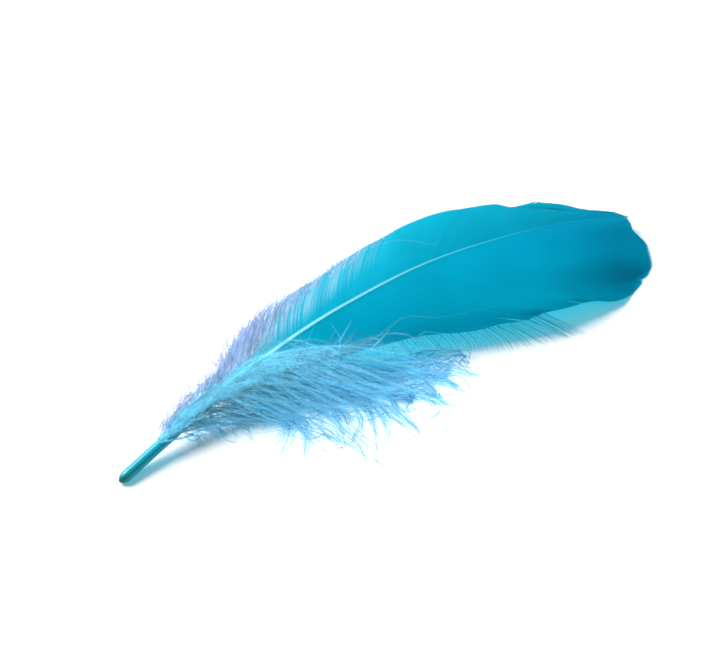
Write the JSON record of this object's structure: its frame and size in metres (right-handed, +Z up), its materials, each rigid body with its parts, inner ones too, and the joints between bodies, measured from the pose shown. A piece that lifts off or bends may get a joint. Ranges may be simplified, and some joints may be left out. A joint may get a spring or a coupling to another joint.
{
  "type": "turkey wing feather",
  "caption": "Dyed wing feather lying on its hollow side, with a round quill, a broad and a narrow vane, and loose down at the base.",
  "frame": {"origin": "middle of the feather's outline, on the surface that it lies on", "axes": "+X along the shaft from the quill to the tip, +Y towards the narrow vane, +Z up"},
  "size_m": [0.1928, 0.0742, 0.0166],
  "materials": {
    "vane": "satin dyed barbs",
    "shaft": "smooth translucent horn",
    "down": "soft pale down"
  },
  "bodies": {
    "root": {"feather": "vane"}
  },
  "joints": []
}
